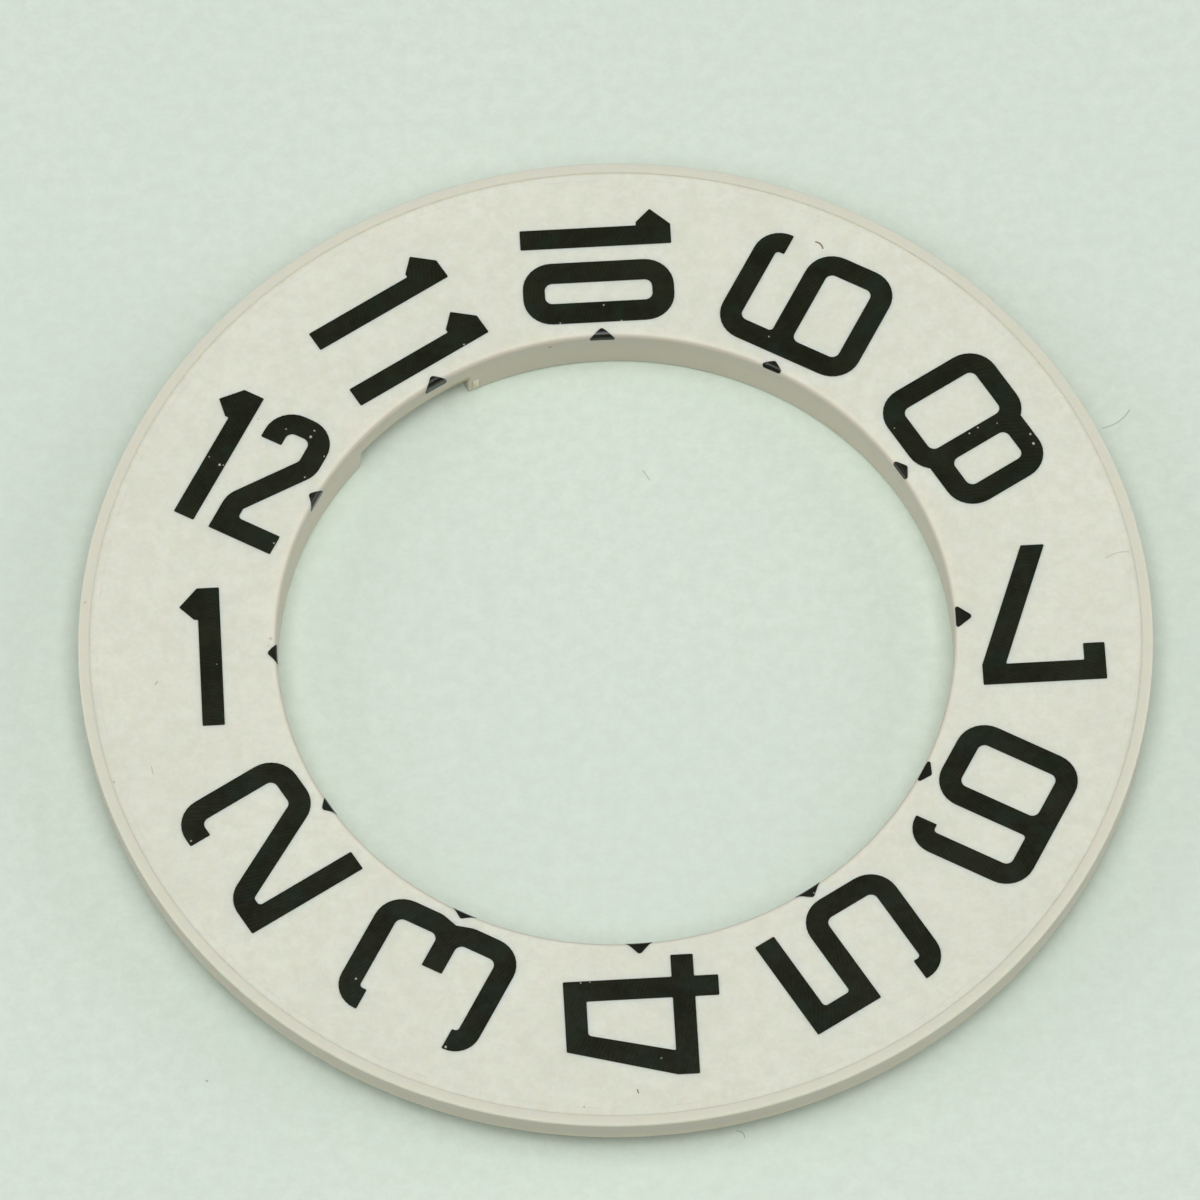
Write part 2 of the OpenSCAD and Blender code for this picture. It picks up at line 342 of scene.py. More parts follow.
class Wiring:
    """Adds nodes to one node tree and joins their sockets."""

    def __init__(self, tree: bpy.types.NodeTree) -> None:
        """Takes the tree in hand.

        Args:
            tree: The node tree of a material, a world or a group.
        """
        self.tree = tree

    def add(self, kind: str, **settings: object) -> bpy.types.Node:
        """Adds a node.

        Args:
            kind: The node's type.
            settings: Its settings.

        Returns:
            The node.
        """
        node = self.tree.nodes.new(kind)
        for name, value in settings.items():
            setattr(node, name, value)
        return node

    def feed(self, socket: Socket, value: Feed) -> None:
        """Joins a socket to another one, or sets its value.

        Args:
            socket: The socket that is fed.
            value: The socket that feeds it, or the value.
        """
        if isinstance(value, bpy.types.NodeSocket):
            self.tree.links.new(value, socket)
        else:
            socket.default_value = value

    def math(self, operation: str, *values: Feed, clamp: bool = False) -> Socket:
        """Works out one value from others.

        Args:
            operation: The Math node's operation.
            values: What goes in.
            clamp: Whether the result is kept from 0 to 1.

        Returns:
            The result.
        """
        node = self.add("ShaderNodeMath", operation=operation, use_clamp=clamp)
        for socket, value in zip(node.inputs, values):
            self.feed(socket, value)
        return node.outputs[0]

    def vector(self, operation: str, *values: Feed) -> bpy.types.Node:
        """Works out a vector, or a value, from vectors.

        Args:
            operation: The Vector Math node's operation.
            values: What goes in.

        Returns:
            The node.
        """
        node = self.add("ShaderNodeVectorMath", operation=operation)
        for socket, value in zip(node.inputs, values):
            self.feed(socket, value)
        return node

    def mix(self, mask: Feed, under: Feed, over: Feed) -> Socket:
        """Lays one colour over another.

        Args:
            mask: How much of the upper colour shows.
            under: The lower colour.
            over: The upper colour.

        Returns:
            The mixed colour.
        """
        # The node has sockets for every type under the same names, so they are told by number.
        node = self.add("ShaderNodeMix", data_type="RGBA")
        self.feed(node.inputs[0], mask)
        self.feed(node.inputs[6], under)
        self.feed(node.inputs[7], over)
        return node.outputs[2]

    def ramp(self, value: Feed, start: Feed, end: Feed,
             low: Feed = 0.0, high: Feed = 1.0) -> Socket:
        """Moves a value softly from one range to another.

        Args:
            value: The value.
            start: Where the range begins.
            end: Where the range ends.
            low: The result at the range's beginning.
            high: The result at the range's end.

        Returns:
            The result.
        """
        node = self.add("ShaderNodeMapRange", interpolation_type="SMOOTHSTEP")
        for socket, given in zip(node.inputs, (value, start, end, low, high)):
            self.feed(socket, given)
        return node.outputs[0]

    def noise(self, place: Socket, scale: Feed, detail: float = 3.0,
              roughness: float = 0.5) -> Socket:
        """Makes cloudy noise.

        Args:
            place: The place in millimetres.
            scale: How many clouds there are in a millimetre.
            detail: How many finer layers it has.
            roughness: How strong these are.

        Returns:
            The noise, from 0 to 1.
        """
        node = self.add("ShaderNodeTexNoise")
        self.feed(node.inputs["Vector"], place)
        self.feed(node.inputs["Scale"], scale)
        self.feed(node.inputs["Detail"], detail)
        self.feed(node.inputs["Roughness"], roughness)
        return node.outputs["Fac"]

    def group(self, effect: Effect, **values: Feed) -> Sockets:
        """Places a shared shader group.

        Args:
            effect: The group.
            values: Its inputs, named in lower case with _ for a space.

        Returns:
            The group's outputs.
        """
        node = self.add("ShaderNodeGroup", node_tree=bpy.data.node_groups[effect.value])
        for name, value in values.items():
            self.feed(node.inputs[name.replace("_", " ").capitalize()], value)
        return node.outputs


class SharedEffects:
    """Builds the shader groups that the finishes share."""

    def build(self) -> None:
        """Builds every group once."""
        self._place()
        self._mottle()
        self._specks()
        self._band()
        self._plate_lines()
        self._spot()
        self._hair()

    def _open(self, effect: Effect, vectors: Iterable[str], numbers: Iterable[str],
              values: Iterable[str] = ("Mask",),
              places: Iterable[str] = ()) -> tuple[Wiring, Sockets, Sockets]:
        """Starts a group.

        Args:
            effect: The group.
            vectors: The names of the vectors that come in.
            numbers: The names of the numbers that come in.
            values: The names of the values that go out.
            places: The names of the vectors that go out.

        Returns:
            The group's wiring, what comes in and what goes out.
        """
        tree = bpy.data.node_groups.new(effect.value, "ShaderNodeTree")
        for way, kind, names in (("INPUT", "Vector", vectors), ("INPUT", "Float", numbers),
                                 ("OUTPUT", "Vector", places), ("OUTPUT", "Float", values)):
            for name in names:
                tree.interface.new_socket(name=name, in_out=way, socket_type=f"NodeSocket{kind}")
        wiring = Wiring(tree)
        return wiring, wiring.add("NodeGroupInput").outputs, wiring.add("NodeGroupOutput").inputs

    def _place(self) -> None:
        """Where a point lies on the disc: in millimetres, by radius, by turn and by height."""
        w, given, out = self._open(Effect.PLACE, ("Metres",), (), ("Radius", "Turn", "Height"),
                                   ("Millimetres",))
        scale = w.vector("SCALE", given["Metres"])
        w.feed(scale.inputs["Scale"], 1 / MM)
        parts = w.add("ShaderNodeSeparateXYZ")
        w.feed(parts.inputs[0], scale.outputs[0])
        x, y, z = parts.outputs
        across = w.math("SQRT", w.math("ADD", w.math("MULTIPLY", x, x), w.math("MULTIPLY", y, y)))
        w.feed(out["Millimetres"], scale.outputs[0])
        w.feed(out["Radius"], across)
        w.feed(out["Turn"], w.math("ARCTAN2", y, x))
        w.feed(out["Height"], z)

    def _mottle(self) -> None:
        """Uneven tone, in broad clouds with fine ones over them."""
        w, given, out = self._open(Effect.MOTTLE, ("Place",), ("Broad", "Fine"))
        broad = w.noise(given["Place"], given["Broad"], 2.0)
        fine = w.noise(given["Place"], given["Fine"], 4.0, 0.6)
        both = w.math("ADD", w.math("MULTIPLY", broad, 0.55), w.math("MULTIPLY", fine, 0.45))
        w.feed(out["Mask"], w.ramp(both, 0.32, 0.68))

    def _specks(self) -> None:
        """Small scattered dots."""
        w, given, out = self._open(Effect.SPECKS, ("Place",), ("Per mm", "Size", "Share"))
        cells = w.add("ShaderNodeTexVoronoi")
        w.feed(cells.inputs["Vector"], given["Place"])
        w.feed(cells.inputs["Scale"], given["Per mm"])
        reach = w.math("MULTIPLY", given["Size"], given["Per mm"])
        dot = w.ramp(cells.outputs["Distance"], w.math("MULTIPLY", reach, 0.5), reach, 1.0, 0.0)
        pick = w.add("ShaderNodeSeparateColor")
        w.feed(pick.inputs[0], cells.outputs["Color"])
        chosen = w.math("LESS_THAN", pick.outputs[0], given["Share"])
        w.feed(out["Mask"], w.math("MULTIPLY", dot, chosen))

    def _band(self) -> None:
        """A band round the axis, or at one height, strongest at its middle."""
        w, given, out = self._open(Effect.BAND, (), ("Value", "Middle", "Half width"))
        away = w.math("ABSOLUTE", w.math("SUBTRACT", given["Value"], given["Middle"]))
        w.feed(out["Mask"], w.ramp(away, 0.0, given["Half width"], 1.0, 0.0))

    def _plate_lines(self) -> None:
        """Fine lines that run from bore to rim, as an etched print plate leaves them."""
        w, given, out = self._open(Effect.PLATE_LINES, ("Place",),
                                   ("Turn", "Radius", "Count", "Slant", "Waver"))
        waver = w.math("MULTIPLY", w.noise(given["Place"], 2.2, 3.0, 0.6), given["Waver"])
        run = w.math("ADD", w.math("MULTIPLY", given["Turn"], given["Count"]),
                     w.math("MULTIPLY", given["Radius"], given["Slant"]))
        wave = w.math("SINE", w.math("ADD", run, waver))
        level = w.math("ADD", w.math("MULTIPLY", wave, 0.5), 0.5)
        patches = w.ramp(w.noise(given["Place"], 3.5), 0.35, 0.6)
        w.feed(out["Mask"], w.math("MULTIPLY", level, patches))

    def _spot(self) -> None:
        """One round spot."""
        w, given, out = self._open(Effect.SPOT, ("Place", "Middle"), ("Size", "Ragged"))
        away = w.vector("DISTANCE", given["Place"], given["Middle"]).outputs["Value"]
        uneven = w.math("MULTIPLY", given["Ragged"], given["Size"])
        w.feed(out["Mask"], w.ramp(w.math("ADD", away, uneven),
                                   w.math("MULTIPLY", given["Size"], 0.8),
                                   w.math("MULTIPLY", given["Size"], 1.5), 1.0, 0.0))

    def _hair(self) -> None:
        """One short fibre, from one point to another, with a slight bend."""
        w, given, out = self._open(Effect.HAIR, ("Place", "Start", "Run", "Bend"), ("Width",))
        from_start = w.vector("SUBTRACT", given["Place"], given["Start"]).outputs[0]
        along = w.vector("DOT_PRODUCT", from_start, given["Run"]).outputs["Value"]
        square = w.vector("DOT_PRODUCT", given["Run"], given["Run"]).outputs["Value"]
        share = w.math("DIVIDE", along, square, clamp=True)
        bow = w.math("MULTIPLY", w.math("SUBTRACT", share, w.math("MULTIPLY", share, share)), 4.0)
        straight = w.vector("SCALE", given["Run"])
        w.feed(straight.inputs["Scale"], share)
        bent = w.vector("SCALE", given["Bend"])
        w.feed(bent.inputs["Scale"], bow)
        nearest = w.vector("ADD", straight.outputs[0], bent.outputs[0]).outputs[0]
        away = w.vector("DISTANCE", from_start, nearest).outputs["Value"]
        core = w.math("MULTIPLY", given["Width"], 0.3)
        w.feed(out["Mask"], w.ramp(away, core, given["Width"], 1.0, 0.0))


@dataclass(frozen=True)
class Spot:
    """A spot of dirt on the moulding: its place, its size and how much it covers."""

    at: Point
    size: float
    cover: float


@dataclass(frozen=True)
class Hair:
    """A fibre that lies on a surface: where it starts, how it runs and how wide it is."""

    start: Point
    run: Point
    width: float
    cover: float
    bend: Point = (0.0, 0.0, 0.0)


def pinhole(x: float, y: float, size: float, cover: float) -> Spot:
    """Returns a spot where the print has a pinhole."""
    return Spot((x, y, DISC.print_z), size, cover)


class Surface:
    """A material that is being wired up."""

    def __init__(self, name: str) -> None:
        """Starts a material with its shader and the place on the disc.

        Args:
            name: The material's name.
        """
        self.material = bpy.data.materials.new(name)
        self.material.use_nodes = True
        self.wiring = Wiring(self.material.node_tree)
        self.shader = self.material.node_tree.nodes["Principled BSDF"]
        metres = self.wiring.add("ShaderNodeTexCoord").outputs["Object"]
        place = self.wiring.group(Effect.PLACE, metres=metres)
        self.place = place["Millimetres"]
        self.radius = place["Radius"]
        self.turn = place["Turn"]
        self.height = place["Height"]

    def lay(self, colour: Feed, layers: Iterable[tuple[Feed, float, Tint]]) -> Socket:
        """Lays tints over a colour, one after another.

        Args:
            colour: The colour below.
            layers: For each tint its mask and how much it covers.

        Returns:
            The colour with all of them.
        """
        for mask, cover, tint in layers:
            share = self.wiring.math("MULTIPLY", mask, cover)
            colour = self.wiring.mix(share, colour, tint.linear())
        return colour

    def dirt(self, colour: Feed, spots: Iterable[Spot], hairs: Iterable[Hair],
             tint: Tint) -> Socket:
        """Lays single spots and fibres over a colour.

        Args:
            colour: The colour below.
            spots: The spots.
            hairs: The fibres.
            tint: Their colour.

        Returns:
            The colour with them.
        """
        w = self.wiring
        ragged = w.noise(self.place, 24.0)
        layers = [(w.group(Effect.SPOT, place=self.place, middle=s.at, size=s.size,
                           ragged=ragged)["Mask"], s.cover, tint) for s in spots]
        layers += [(w.group(Effect.HAIR, place=self.place, start=h.start, run=h.run, width=h.width,
                            bend=h.bend)["Mask"], h.cover, tint) for h in hairs]
        return self.lay(colour, layers)

    def mottle(self, broad: float, fine: float) -> Socket:
        """Returns uneven tone, with so many broad and fine clouds in a millimetre."""
        return self.wiring.group(Effect.MOTTLE, place=self.place, broad=broad, fine=fine)["Mask"]

    def specks(self, per_mm: float, size: float, share: float) -> Socket:
        """Scatters dots.

        Args:
            per_mm: How many cells there are in a millimetre.
            size: A dot's radius in millimetres.
            share: The share of the cells that have a dot.

        Returns:
            Where the dots are.
        """
        return self.wiring.group(Effect.SPECKS, place=self.place, per_mm=per_mm, size=size,
                                 share=share)["Mask"]

    def band(self, value: Socket, middle: float, half_width: float) -> Socket:
        """Returns a band of radius or height round its middle."""
        return self.wiring.group(Effect.BAND, value=value, middle=middle,
                                 half_width=half_width)["Mask"]

    def where(self, first: Socket, *others: Socket) -> Socket:
        """Finds where several masks hold together.

        Args:
            first: One mask.
            others: The others.

        Returns:
            The masks' product.
        """
        for other in others:
            first = self.wiring.math("MULTIPLY", first, other)
        return first

    def fix(self, values: dict[str, Value]) -> None:
        """Sets the shader's sockets whose value is the same all over."""
        for name, value in values.items():
            self.shader.inputs[name].default_value = value

    def relief(self, *layers: tuple[Socket, float]) -> None:
        """Gives the surface its fine relief.

        Args:
            layers: For each relief its height mask and its depth in millimetres.
        """
        normal = None
        for mask, depth in layers:
            bump = self.wiring.add("ShaderNodeBump")
            bump.inputs["Distance"].default_value = depth * MM
            self.wiring.feed(bump.inputs["Height"], mask)
            if normal is not None:
                self.wiring.feed(bump.inputs["Normal"], normal)
            normal = bump.outputs["Normal"]
        self.wiring.feed(self.shader.inputs["Normal"], normal)


@dataclass(frozen=True)
class MouldedPlastic:
    """Off-white moulded plastic, matt, with the traces of its mould and of handling, and with
    painted shade on its walls, at the lip's step and at the notch.
    """

    name: str = "moulded off-white plastic"
    face: Tint = Tint(225, 228, 213)
    cloud: Tint = Tint(221, 224, 209)
    grain: Tint = Tint(207, 209, 190)
    lip: Tint = Tint(209, 210, 194)
    # Painted shade along the lip's step, where the face meets the lip; the same tint also draws a
    # faint mould line further in.
    step: Tint = Tint(190, 188, 168)
    edge: Tint = Tint(224, 219, 202)
    # Painted shade: below the face the plastic is darker and yellower than the face, standing for
    # the walls' shade and partly for the plastic's deeper tone where it is thin.
    wall: Tint = Tint(196, 192, 179)
    # Painted shade and glow: the lower walls, collar and underside are darker than the face but
    # lighter and warmer than the upper walls, for light glowing through the plastic.
    foot: Tint = Tint(204, 198, 181)
    # Painted shade: a brown line along the notch roof's lower edge and a brown wedge beside the
    # gate, where shade falls under the web.
    notch_shade: Tint = Tint(164, 150, 108)
    smudge: Tint = Tint(196, 186, 148)
    soil: Tint = Tint(112, 92, 58)
    tan: Tint = Tint(182, 152, 98)
    gloss: float = 0.35
    glow: float = 0.5
    glow_colour: tuple[float, float, float] = (1.0, 0.62, 0.34)
    glow_reach: float = 0.5
    step_shade_half: float = 0.07
    arc_in: float = 0.21
    arc_half: float = 0.03
    edge_half: float = 0.22
    notch_shade_half: float = 0.07
    spots: tuple[Spot, ...] = (
        Spot((-1.53, -13.395, 1.5), 0.045, 0.35),
        Spot((-9.035, 6.9, 1.5), 0.03, 0.5),
        Spot((8.851, -0.999, 1.45), 0.03, 0.6),
        Spot((-13.197, -3.473, 1.5), 0.035, 0.5),
        Spot((4.9, -7.345, 1.46), 0.035, 0.9),
    )
    tan_spots: tuple[Spot, ...] = (
        Spot((-8.972, 0.436, 1.5), 0.055, 0.6),
        Spot((-9.033, 0.23, 1.5), 0.04, 0.3),
        Spot((-13.761, 1.756, 1.55), 0.055, 0.45),
        Spot((-1.255, 8.74, 1.2), 0.075, 0.9),
    )
    hairs: tuple[Hair, ...] = (
        Hair((5.93, 11.31, 1.5), (0.17, -0.2, 0.0), 0.035, 0.9, (0.03, 0.03, 0.0)),
        Hair((-0.14, -12.99, 1.5), (0.02, -0.09, 0.0), 0.026, 0.9),
        Hair((-12.02, -0.72, 1.5), (0.06, 0.09, 0.0), 0.026, 0.45),
        Hair((-12.21, -3.08, 1.5), (0.03, -0.22, 0.0), 0.02, 0.35),
        Hair((6.3, -12.19, 1.5), (0.3, 0.15, 0.0), 0.022, 0.6),
        Hair((12.92, 1.51, 1.5), (0.61, 0.14, 0.0), 0.02, 0.35, (-0.02, 0.06, 0.0)),
    )

    def _notch_shade_places(self, s: Surface) -> tuple[Socket, Socket]:
        """Finds where painted shade browns the bore's wall at the notch.

        Args:
            s: The surface.

        Returns:
            Where it is along the notch's roof, and where beside the gate.
        """
        w = s.wiring
        half = math.radians(DISC.notch_span / 2)
        from_middle = w.math("SUBTRACT", s.turn, math.radians(DISC.notch_from) + half)
        in_notch = w.math("LESS_THAN", w.math("ABSOLUTE", from_middle), half)
        past_end = s.where(w.ramp(from_middle, 0.13 - half, 0.03 - half),
                           w.ramp(from_middle, -0.01 - half, -0.002 - half))
        by_roof = s.where(w.ramp(s.height, DISC.collar_h + 0.16, DISC.collar_h + 0.04),
                          w.ramp(s.height, DISC.collar_h - 0.14, DISC.collar_h - 0.03))
        by_bore = w.ramp(s.radius, DISC.bore_r + 0.4, DISC.bore_r + 0.1)
        at_roof = s.band(s.height, DISC.collar_h, self.notch_shade_half)
        return s.where(at_roof, in_notch, by_bore), s.where(past_end, by_roof, by_bore)

    def material(self) -> bpy.types.Material:
        """Wires up the finish.

        Returns:
            The material.
        """
        s = Surface(self.name)
        w = s.wiring
        clouds = s.mottle(0.35, 2.6)
        grain = s.mottle(3.0, 8.0)
        above_face = w.ramp(s.height, DISC.face_z + 0.02, DISC.face_z + 0.04)
        on_wall = w.ramp(s.radius, DISC.bore_r + 0.01, DISC.bore_r + 0.04, 1.0, 0.0)
        lip_step_shade = s.band(s.radius, DISC.lip_r, self.step_shade_half)
        faint_arc = s.band(s.radius, DISC.lip_r - self.arc_in, self.arc_half)
        bore_edge = s.band(s.radius, DISC.bore_r, self.edge_half)
        broken = w.ramp(w.noise(s.place, 1.3, 4.0, 0.6), 0.4, 0.62)
        smudges = w.ramp(w.noise(s.place, 0.9, 5.0, 0.65), 0.52, 0.72)
        at_roof, by_gate = self._notch_shade_places(s)
        colour = w.mix(clouds, self.face.linear(), self.cloud.linear())
        colour = s.lay(colour, (
            (grain, 0.5, self.grain),
            (above_face, 0.8, self.lip),
            (s.where(bore_edge, w.ramp(s.height, 1.2, 1.5)), 0.45, self.edge),
            # Painted shade: everything below the face takes the darker, yellower wall tint, partly
            # the plastic's deeper tone where it is thin.
            (w.ramp(s.height, DISC.face_z, DISC.face_z - 0.06), 0.9, self.wall),
            # Painted shade and glow: lower walls, collar and underside lighter and warmer than the
            # upper walls, still darker than the face.
            (w.ramp(s.height, DISC.face_z - 0.25, DISC.collar_h), 0.8, self.foot),
            # Painted shade: a darker band along the concave corner at the lip's step.
            (lip_step_shade, 0.25, self.step),
            (s.where(faint_arc, broken), 0.22, self.step),
            (s.where(on_wall, smudges), 0.3, self.smudge),
            # Painted shade: brown along the notch roof's lower edge and beside the gate, where
            # shade falls under the web.
            (at_roof, 0.5, self.notch_shade),
            (by_gate, 0.75, self.notch_shade),
            (s.specks(0.9, 0.018, 0.16), 0.4, self.soil),
        ))
        colour = s.dirt(colour, self.tan_spots, (), self.tan)
        w.feed(s.shader.inputs["Base Color"], s.dirt(colour, self.spots, self.hairs, self.soil))
        tooth = w.noise(s.place, 14.0, 4.0, 0.6)
        w.feed(s.shader.inputs["Roughness"], w.ramp(tooth, 0.3, 0.7, 0.52, 0.66))
        s.fix({"Specular IOR Level": self.gloss, "Subsurface Weight": self.glow,
               "Subsurface Radius": self.glow_colour, "Subsurface Scale": self.glow_reach * MM})
        s.relief((tooth, 0.004), (w.noise(s.place, 1.1, 2.0), 0.012))
        return s.material


@dataclass(frozen=True)
class TrimmedPlastic:
    """The moulding's plastic where the gate was cut off: yellower, and torn along the cut."""

    name: str = "trimmed gate plastic"
    fresh: Tint = Tint(228, 221, 200)
    torn: Tint = Tint(214, 202, 168)

    def material(self) -> bpy.types.Material:
        """Wires up the finish.

        Returns:
            The material.
        """
        s = Surface(self.name)
        w = s.wiring
        tear = w.noise(s.place, 9.0, 4.0, 0.6)
        torn = w.ramp(tear, 0.42, 0.62)
        w.feed(s.shader.inputs["Base Color"], w.mix(torn, self.fresh.linear(), self.torn.linear()))
        w.feed(s.shader.inputs["Roughness"], w.ramp(tear, 0.3, 0.7, 0.4, 0.6))
        s.relief((tear, 0.02))
        return s.material


@dataclass(frozen=True)
class PrintedInk:
    """Near-black printing ink, slightly glossy, with the plate's fine lines and a few pinholes."""

    name: str = "printed black ink"
    body: Tint = Tint(21, 25, 11)
    line: Tint = Tint(39, 42, 26)
    bare: Tint = Tint(205, 205, 190)
    lines_round: float = 640.0
    slant: float = 22.0
    waver: float = 9.0
    pinhole_share: float = 0.02
    thin_below: float = 0.0
    thin: Tint = Tint(96, 96, 88)
    cool: Tint = Tint(26, 42, 30)
    gloss: float = 0.25
    roughness: tuple[float, float] = (0.17, 0.25)
    holes: tuple[Spot, ...] = (
        pinhole(-7.57, 6.46, 0.035, 0.6), pinhole(-7.67, 6.28, 0.05, 0.75),
        pinhole(-7.34, 5.69, 0.03, 0.6), pinhole(-7.88, 5.1, 0.03, 0.6),
        pinhole(-8.77, 3.21, 0.03, 0.5), pinhole(-8.31, 6.55, 0.03, 0.5),
        pinhole(9.83, 5.53, 0.035, 0.6), pinhole(9.6, 5.37, 0.035, 0.6),
        pinhole(10.35, 5.63, 0.03, 0.5), pinhole(0.22, 9.75, 0.035, 0.6),
        pinhole(-0.95, 9.27, 0.03, 0.6), pinhole(-3.52, 8.79, 0.035, 0.6),
        pinhole(4.52, 8.55, 0.03, 0.6), pinhole(-1.43, -9.91, 0.03, 0.5),
        pinhole(-1.19, -9.9, 0.03, 0.4), pinhole(0.52, -12.15, 0.035, 0.35),
        pinhole(-10.4, -0.23, 0.03, 0.25), pinhole(-7.19, -9.45, 0.04, 0.7),
        pinhole(-4.98, -11.51, 0.045, 0.8), pinhole(-11.27, -5.29, 0.035, 0.6),
        pinhole(-10.10, 5.60, 0.045, 0.8), pinhole(-10.36, 5.85, 0.03, 0.4),
        pinhole(11.20, 5.26, 0.04, 0.75), pinhole(11.26, 4.97, 0.045, 0.9),
        pinhole(0.67, 9.25, 0.035, 0.7),
    )

    def material(self) -> bpy.types.Material:
        """Wires up the finish.

        Returns:
            The material.
        """
        s = Surface(self.name)
        w = s.wiring
        lines = w.group(Effect.PLATE_LINES, place=s.place, turn=s.turn, radius=s.radius,
                        count=self.lines_round, slant=self.slant, waver=self.waver)["Mask"]
        clouds = s.mottle(0.8, 6.0)
        patches = w.ramp(w.noise(s.place, 1.1, 5.0, 0.6), 0.5, 0.66)
        pinholes = s.specks(3.4, 0.02, self.pinhole_share)
        colour = s.lay(self.body.linear(), (
            (lines, 0.38, self.line), (clouds, 0.35, self.line), (patches, 0.45, self.cool)))
        if self.thin_below:
            streaks = w.ramp(w.noise(w.math("MULTIPLY", s.turn, 60.0), 6.0, 4.0), 0.35, 0.62)
            low = w.ramp(s.height, self.thin_below, self.thin_below - 0.08)
            colour = s.lay(colour, ((s.where(streaks, low), 0.8, self.thin),))
        colour = s.lay(colour, ((pinholes, 0.9, self.bare),))
        if not self.thin_below:
            colour = s.dirt(colour, self.holes, (), self.bare)
        w.feed(s.shader.inputs["Base Color"], colour)
        w.feed(s.shader.inputs["Roughness"], w.ramp(clouds, 0.0, 1.0, *self.roughness))
        s.fix({"Specular IOR Level": self.gloss})
        s.relief((lines, 0.0012), (w.noise(s.place, 7.0, 3.0), 0.002))
        return s.material


@dataclass(frozen=True)
class PaleSheet:
    """The pale sheet under the disc, with faint fibres and specks."""

    name: str = "pale sheet"
    body: Tint = Tint(218, 231, 217)
    cloud: Tint = Tint(213, 227, 214)
    pulp: Tint = Tint(208, 221, 207)
    speck: Tint = Tint(178, 184, 176)
    soil: Tint = Tint(92, 96, 88)
    gloss: float = 0.2
    spots: tuple[Spot, ...] = (Spot((-11.155, -11.423, 0.0), 0.05, 0.5),)
    hairs: tuple[Hair, ...] = (
        Hair((13.2, 6.1, 0.0), (0.75, 0.5, 0.0), 0.03, 0.35, (0.06, -0.08, 0.0)),
        Hair((2.38, -13.62, 0.0), (0.18, -0.2, 0.0), 0.03, 0.42, (0.05, 0.03, 0.0)),
        Hair((1.02, 5.55, 0.0), (0.16, -0.28, 0.0), 0.025, 0.35),
    )

    def material(self) -> bpy.types.Material:
        """Wires up the finish.

        Returns:
            The material.
        """
        s = Surface(self.name)
        w = s.wiring
        clouds = s.mottle(0.06, 1.4)
        specks = s.specks(0.9, 0.04, 0.12)
        grain = s.mottle(2.6, 8.0)
        colour = s.lay(w.mix(clouds, self.body.linear(), self.cloud.linear()),
                       ((grain, 0.8, self.pulp), (specks, 0.35, self.speck)))
        w.feed(s.shader.inputs["Base Color"], s.dirt(colour, self.spots, self.hairs, self.soil))
        fibres = w.noise(s.place, 4.0, 5.0, 0.65)
        w.feed(s.shader.inputs["Roughness"], w.ramp(fibres, 0.3, 0.7, 0.8, 0.95))
        s.fix({"Specular IOR Level": self.gloss})
        s.relief((fibres, 0.006))
        return s.material


@dataclass
class Bead:
    """A corner of the ring's section that is rounded: its place, its radius and its steps."""

    x: float
    z: float
    radius: float
    steps: int


